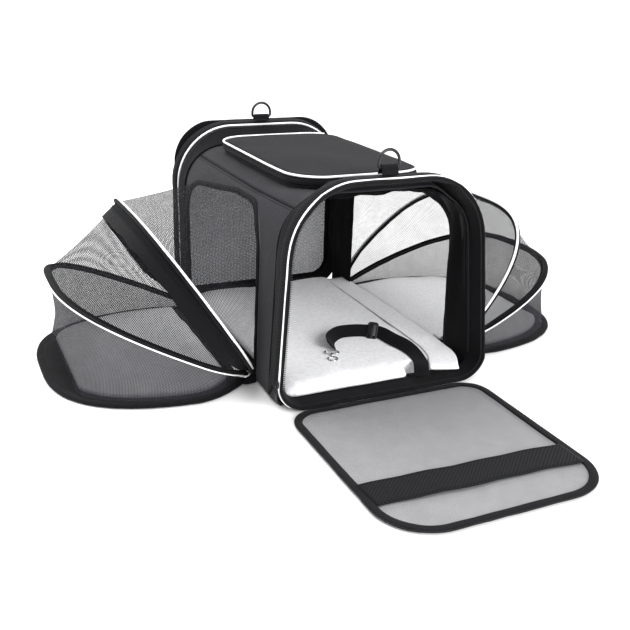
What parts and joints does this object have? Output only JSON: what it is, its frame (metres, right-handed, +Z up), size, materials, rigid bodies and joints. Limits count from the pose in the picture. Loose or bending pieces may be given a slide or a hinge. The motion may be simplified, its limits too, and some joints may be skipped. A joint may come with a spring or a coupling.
{
  "type": "pet carrier bag",
  "caption": "Soft-sided pet carrier with a wire-framed cabin, drop-down mesh front door, mesh rear door, padded top lid and a fan-shaped mesh extension that folds out on each side.",
  "frame": {"origin": "middle of the cabin's underside, on the surface that it stands on", "axes": "+Z up, -Y towards the front door, +X to the right as seen from the front"},
  "size_m": [0.7598, 0.7231, 0.3118],
  "materials": {
    "body_fabric": "charcoal woven polyester, matt with a slight sheen",
    "binding": "black folded woven binding tape",
    "webbing": "black ribbed nylon webbing",
    "white_piping": "white corded piping, smooth",
    "mesh": "light grey knitted mesh that is seen through",
    "white_plush": "white short-pile plush",
    "stiff_board": "black fibre board covered in cloth",
    "spring_steel": "drawn spring wire",
    "black_metal": "black enamelled die-cast metal",
    "black_plastic": "black moulded plastic",
    "bright_chrome": "polished plated metal"
  },
  "bodies": {
    "cabin": {"front_collar": "binding", "rear_collar": "binding", "front_frame_wire": "spring_steel", "rear_frame_wire": "spring_steel", "front_piping": "white_piping", "rear_piping": "white_piping", "left_side_panel": "body_fabric", "right_side_panel": "body_fabric", "left_arch_binding": "binding", "right_arch_binding": "binding", "roof_panel": "body_fabric", "lid_gusset": "body_fabric", "underside_panel": "body_fabric", "base_board": "stiff_board", "floor_pad": "white_plush", "front_ring_tab": "webbing", "rear_ring_tab": "webbing", "left_front_hoop_anchor": "binding", "left_rear_hoop_anchor": "binding", "right_front_hoop_anchor": "binding", "right_rear_hoop_anchor": "binding", "front_zip_slider": "black_metal", "rear_zip_slider": "black_metal", "lid_zip_slider": "black_metal", "tether_strap": "webbing", "tether_adjuster": "black_plastic", "tether_eye": "bright_chrome", "tether_swivel": "bright_chrome", "tether_hook": "bright_chrome"},
    "front_door": {"front_door_binding": "binding", "front_door_mesh": "mesh", "front_door_band": "webbing"},
    "rear_door": {"rear_door_binding": "binding", "rear_door_mesh": "mesh"},
    "top_lid": {"lid_panel": "body_fabric", "lid_piping": "white_piping"},
    "front_ring": {"front_d_ring": "black_metal"},
    "rear_ring": {"rear_d_ring": "black_metal"},
    "tether_gate": {"tether_gate": "bright_chrome"},
    "left_upper_hoop": {"left_upper_hoop_sleeve": "binding", "left_upper_hoop_wire": "spring_steel", "left_mesh_inner": "mesh"},
    "left_lower_hoop": {"left_lower_hoop_sleeve": "binding", "left_lower_hoop_wire": "spring_steel", "left_mesh_middle": "mesh"},
    "left_floor": {"left_floor_board": "stiff_board", "left_floor_binding": "binding", "left_extension_pad": "white_plush", "left_mesh_outer": "mesh"},
    "right_upper_hoop": {"right_upper_hoop_sleeve": "binding", "right_upper_hoop_wire": "spring_steel", "right_mesh_inner": "mesh"},
    "right_lower_hoop": {"right_lower_hoop_sleeve": "binding", "right_lower_hoop_wire": "spring_steel", "right_mesh_middle": "mesh"},
    "right_floor": {"right_floor_board": "stiff_board", "right_floor_binding": "binding", "right_extension_pad": "white_plush", "right_mesh_outer": "mesh"}
  },
  "joints": [
    {"name": "front_door_hinge", "type": "hinge", "parent": "cabin", "child": "front_door", "pos_m": [0, -0.2225, 0.0045], "axis": [-1, 0, 0], "range_deg": [0, 90]},
    {"name": "rear_door_hinge", "type": "hinge", "parent": "cabin", "child": "rear_door", "pos_m": [0, 0.2225, 0.0045], "axis": [-1, 0, 0], "range_deg": [0, 90]},
    {"name": "lid_hinge", "type": "hinge", "parent": "cabin", "child": "top_lid", "pos_m": [0.092, 0, 0.2556], "axis": [0, 1, 0], "range_deg": [0, 130]},
    {"name": "front_ring_tilt", "type": "hinge", "parent": "cabin", "child": "front_ring", "pos_m": [0, -0.2022, 0.2862], "axis": [1, 0, 0], "range_deg": [-80, 80]},
    {"name": "rear_ring_tilt", "type": "hinge", "parent": "cabin", "child": "rear_ring", "pos_m": [0, 0.2022, 0.2862], "axis": [1, 0, 0], "range_deg": [-80, 80]},
    {"name": "tether_gate_hinge", "type": "hinge", "parent": "cabin", "child": "tether_gate", "pos_m": [-0.04531, -0.13976, 0.0252], "axis": [0, 0, 1], "range_deg": [0, 30], "stiffness_Nm_per_rad": 0.001},
    {"name": "left_upper_hoop_fold", "type": "hinge", "parent": "cabin", "child": "left_upper_hoop", "pos_m": [-0.1345, 0.0134, 0.012], "axis": [0, 1, 0], "range_deg": [0, 32.5], "deforming": ["left_mesh_inner"]},
    {"name": "left_lower_hoop_fold", "type": "hinge", "parent": "left_upper_hoop", "child": "left_lower_hoop", "pos_m": [-0.1389, 0.0134, 0.01], "axis": [0, 1, 0], "range_deg": [0, 31], "deforming": ["left_mesh_middle"]},
    {"name": "left_floor_fold", "type": "hinge", "parent": "left_lower_hoop", "child": "left_floor", "pos_m": [-0.1434, 0.0134, 0.0026], "axis": [0, 1, 0], "range_deg": [0, 26.5], "deforming": ["left_mesh_outer"]},
    {"name": "right_upper_hoop_fold", "type": "hinge", "parent": "cabin", "child": "right_upper_hoop", "pos_m": [0.1345, 0.0134, 0.012], "axis": [0, -1, 0], "range_deg": [0, 42.6], "deforming": ["right_mesh_inner"]},
    {"name": "right_lower_hoop_fold", "type": "hinge", "parent": "right_upper_hoop", "child": "right_lower_hoop", "pos_m": [0.1389, 0.0134, 0.01], "axis": [0, -1, 0], "range_deg": [0, 26], "deforming": ["right_mesh_middle"]},
    {"name": "right_floor_fold", "type": "hinge", "parent": "right_lower_hoop", "child": "right_floor", "pos_m": [0.1434, 0.0134, 0.0026], "axis": [0, -1, 0], "range_deg": [0, 21.4], "deforming": ["right_mesh_outer"]}
  ],
  "couplings": [
    {"joint": "left_lower_hoop_fold", "follows": "left_upper_hoop_fold", "ratio": 0.9514},
    {"joint": "left_floor_fold", "follows": "left_upper_hoop_fold", "ratio": 0.8144},
    {"joint": "right_lower_hoop_fold", "follows": "right_upper_hoop_fold", "ratio": 0.6084},
    {"joint": "right_floor_fold", "follows": "right_upper_hoop_fold", "ratio": 0.5018}
  ]
}
